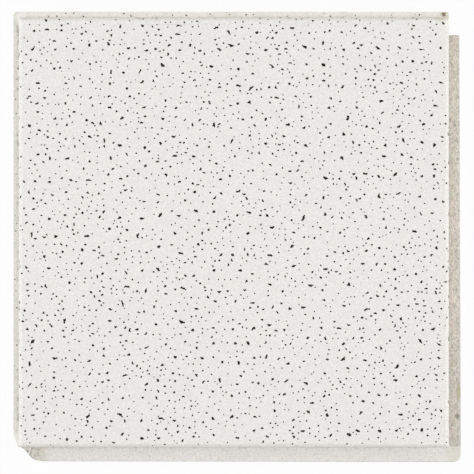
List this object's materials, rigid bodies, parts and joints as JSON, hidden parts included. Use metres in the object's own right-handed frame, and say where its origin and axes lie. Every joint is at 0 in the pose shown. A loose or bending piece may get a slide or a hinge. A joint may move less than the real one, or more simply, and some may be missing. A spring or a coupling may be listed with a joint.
{
  "type": "interlocking fibreboard ceiling tile",
  "caption": "Square white fissured fibreboard ceiling tile with bevelled face, tongues on two edges and grooved stapling flanges on the other two.",
  "frame": {"origin": "on the back of the tile, under the middle of the square face", "axes": "+Z out of the painted face, +X towards the side flange, -Y towards the end flange"},
  "size_m": [0.3181, 0.3199, 0.0127],
  "materials": {
    "fibreboard": "matte white paint on pressed fibre, raw beige fibre on the side flange, in the grooves and on the back"
  },
  "bodies": {
    "root": {"ceiling_tile": "fibreboard"}
  },
  "joints": []
}
